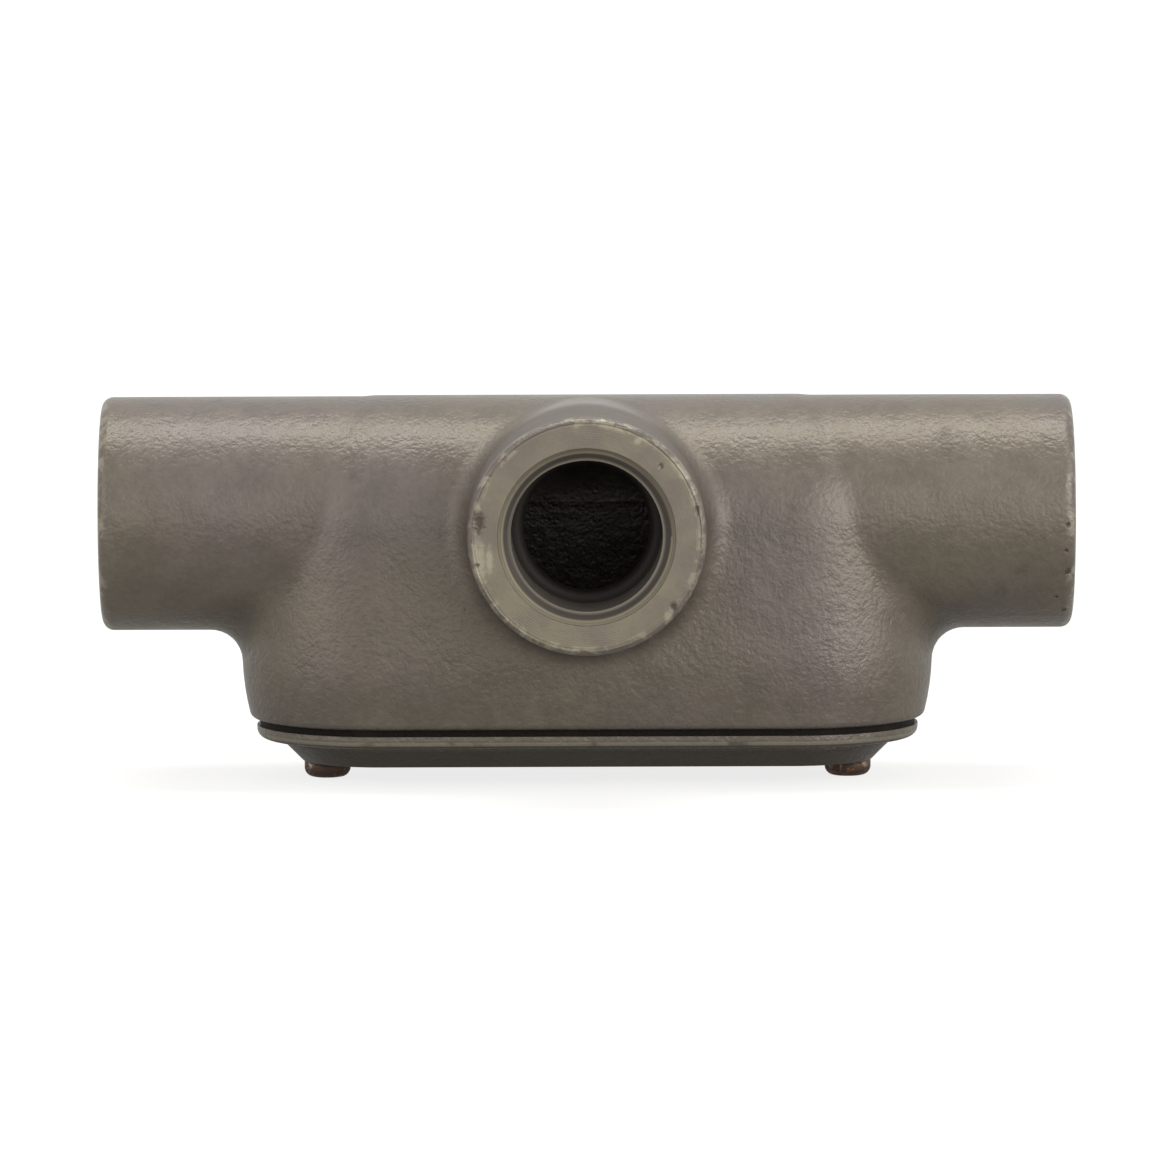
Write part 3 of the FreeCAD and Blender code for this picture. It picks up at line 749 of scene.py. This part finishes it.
def makeScrew(side):
    values = screwThread
    low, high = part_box("cover_screw_" + side)
    centre = ((low.x + high.x) / 2, (low.y + high.y) / 2, 0)
    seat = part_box("cover")[0].z
    shankStart = seat - values["shankOverlap"]
    name = "slotted_screw_" + side
    head = bpy.data.objects.new(name, nodes["cover_screw_" + side].data.copy())
    bpy.context.scene.collection.objects.link(head)
    tidyMesh(head)
    bpy.ops.object.mode_set(mode="EDIT")
    bpy.ops.mesh.select_all(action="SELECT")
    bpy.ops.mesh.bisect(plane_co=(0, 0, seat + values["headCut"]), plane_no=(0, 0, 1),
                        use_fill=True, clear_outer=True)
    bpy.ops.object.mode_set(mode="OBJECT")

    clearSelection()
    bodyLength = high.z - values["tip"] - shankStart
    bpy.ops.mesh.primitive_cylinder_add(vertices=values["sides"], radius=values["core"], depth=bodyLength,
                                        location=(centre[0], centre[1], shankStart + bodyLength / 2))
    shank = nameActive("shank")
    bpy.ops.object.transform_apply(location=True, rotation=True, scale=True)
    pickVertices(shank, lambda place: place.z > high.z - values["tip"] - pickMargin)
    bpy.ops.mesh.extrude_region_move(TRANSFORM_OT_translate={"value": (0, 0, values["tip"])})
    bpy.ops.transform.resize(value=(values["tipTaper"], values["tipTaper"], 1))
    bpy.ops.object.mode_set(mode="OBJECT")

    threadStart = seat + values["threadAbove"]
    threadLength = high.z - values["tip"] * values["threadPastTip"] - threadStart
    turns = math.ceil(threadLength / values["pitch"]) + 2
    ridge = helixRidge("ridge", values["core"] - values["margin"], values["crest"], values["rootWidth"],
                       values["crestWidth"], values["pitch"], turns, values["steps"])
    settle(ridge, (centre[0], centre[1], threadStart - values["pitch"]), (0, 0, 0))
    clearSelection()
    bpy.ops.mesh.primitive_cone_add(vertices=values["sides"], radius1=values["core"],
                                    radius2=values["crest"] + values["margin"], depth=values["runOut"],
                                    location=(centre[0], centre[1], threadStart + values["runOut"] / 2))
    envelope = nameActive("envelope")
    bpy.ops.object.transform_apply(location=True, rotation=True, scale=True)
    pickVertices(envelope, lambda place: place.z > threadStart + values["runOut"] - pickMargin)
    straight = threadLength - 2 * values["runOut"]
    bpy.ops.mesh.extrude_region_move(TRANSFORM_OT_translate={"value": (0, 0, straight)})
    bpy.ops.mesh.extrude_region_move(TRANSFORM_OT_translate={"value": (0, 0, values["runOut"])})
    bpy.ops.transform.resize(value=(values["runOutTaper"], values["runOutTaper"], 1))
    bpy.ops.object.mode_set(mode="OBJECT")
    cutWith(ridge, envelope, "INTERSECT")
    tidyMesh(ridge)

    cutWith(head, shank, "UNION")
    cutWith(head, ridge, "UNION")
    tidyMesh(head)
    bpy.ops.object.shade_smooth_by_angle(angle=math.radians(values["smoothAngle"]))
    head.data.materials.clear()
    head.data.materials.append(screwFinish)
    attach(head, "screw_" + side)
    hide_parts("cover_screw_" + side)
    print(name, "made:", len(head.data.polygons), "faces")


for side in ("left", "right"):
    makeScrew(side)


# floor, light and camera
studio = {
    "floorSize": 30.0, "floorCuts": 7, "floorGrey": "8f8d89", "floorRoughness": 0.9,
    "glow": (0.80, 1.0), "glowReach": (0.25, 1.6), "mirrorNear": 0.38, "mirrorReach": (0.08, 0.50),
    "skyStrength": 0.62,
}
# each softbox: its place, what it is aimed at, its width, height and power
softboxes = {
    "overhead": ((0, 0.10, 1.1), (0, 0, 0.04), 1.2, 0.34, 6.6),
    "front": ((1.1, -2.1, 0.6), (0, 0, 0.03), 2.4, 1.5, 10.5),
    "leftSide": ((-1.5, -1.0, 0.50), (0, 0, 0.04), 1.5, 1.5, 6.5),
    "rightSide": ((1.5, -1.0, 0.50), (0, 0, 0.04), 1.5, 1.5, 15.0),
}


def makeFloor():
    clearSelection()
    bpy.ops.mesh.primitive_plane_add(size=studio["floorSize"], location=(0, 0, 0))
    floor = nameActive("floor")
    bpy.ops.object.mode_set(mode="EDIT")
    bpy.ops.mesh.subdivide(number_cuts=studio["floorCuts"])
    bpy.ops.object.mode_set(mode="OBJECT")
    material, tree, shader, place = newMaterial("paleFloor")
    shader.inputs["Base Color"].default_value = linearColour(studio["floorGrey"])
    shader.inputs["Roughness"].default_value = studio["floorRoughness"]
    shader.inputs["Specular IOR Level"].default_value = 0.0
    shader.inputs["Emission Color"].default_value = (1, 1, 1, 1)
    rays = tree.nodes.new("ShaderNodeLightPath").outputs
    outward = vectorNode(tree, "LENGTH", place["Object"])
    # reflections see the bright floor further out, and the shaded floor close to the object
    mirrored = mathNode(tree, "MULTIPLY", rays["Is Glossy Ray"],
                        rampNode(tree, outward, *studio["mirrorReach"], studio["mirrorNear"], 1.0))
    seen = anyMask(tree, [rays["Is Camera Ray"], mirrored, rays["Is Transmission Ray"]])
    glow = rampNode(tree, outward, *studio["glowReach"], *studio["glow"])
    tree.links.new(mathNode(tree, "MULTIPLY", seen, glow), shader.inputs["Emission Strength"])
    floor.data.materials.append(material)


def makeSky():
    world = bpy.data.worlds.new("studioSky")
    bpy.context.scene.world = world
    world.use_nodes = True
    tree = world.node_tree
    tree.nodes.clear()
    rays = tree.nodes.new("ShaderNodeLightPath").outputs
    seen = anyMask(tree, [rays["Is Camera Ray"], rays["Is Glossy Ray"], rays["Is Transmission Ray"]])
    strength = rampNode(tree, seen, 0.0, 1.0, studio["skyStrength"], 1.0)
    sky = addNode(tree, "ShaderNodeBackground", {"Color": (1, 1, 1, 1), "Strength": strength})
    output = tree.nodes.new("ShaderNodeOutputWorld")
    tree.links.new(sky.outputs[0], output.inputs["Surface"])


def addSoftbox(name, place, aim, width, height, power):
    lamp = bpy.data.lights.new(name, "AREA")
    lamp.shape = "RECTANGLE"
    lamp.size = width
    lamp.size_y = height
    lamp.energy = power
    softbox = bpy.data.objects.new(name, lamp)
    bpy.context.scene.collection.objects.link(softbox)
    softbox.location = place
    softbox.rotation_euler = (Vector(aim) - Vector(place)).to_track_quat("-Z", "Y").to_euler()


# angles in degrees; aimBelow is how far under the run's axis the camera looks
viewpoint = {"elevation": 5.9, "distance": 1.44, "roll": 0.2, "frameWidth": 0.1884, "sensor": 36.0,
             "aimBelow": 0.0121, "clipEnd": 100}


def makeCamera():
    elevation = math.radians(viewpoint["elevation"])
    aim = Vector((0, axisY, axisZ - viewpoint["aimBelow"]))
    camera = bpy.data.cameras.new("camera")
    camera.sensor_width = viewpoint["sensor"]
    camera.lens = viewpoint["sensor"] * viewpoint["distance"] / viewpoint["frameWidth"]
    camera.clip_end = viewpoint["clipEnd"]
    holder = bpy.data.objects.new("camera", camera)
    bpy.context.scene.collection.objects.link(holder)
    away = Vector((0, -math.cos(elevation), math.sin(elevation)))
    holder.location = aim + away * viewpoint["distance"]
    holder.rotation_mode = "QUATERNION"
    look = (-away).to_track_quat("-Z", "Y")
    holder.rotation_quaternion = look @ Quaternion((0, 0, 1), math.radians(-viewpoint["roll"]))
    bpy.context.scene.camera = holder


makeFloor()
makeSky()
for softboxName, settings in softboxes.items():
    addSoftbox(softboxName, *settings)
makeCamera()
bpy.context.scene.view_settings.view_transform = "Standard"
print("stage, lights and camera placed")
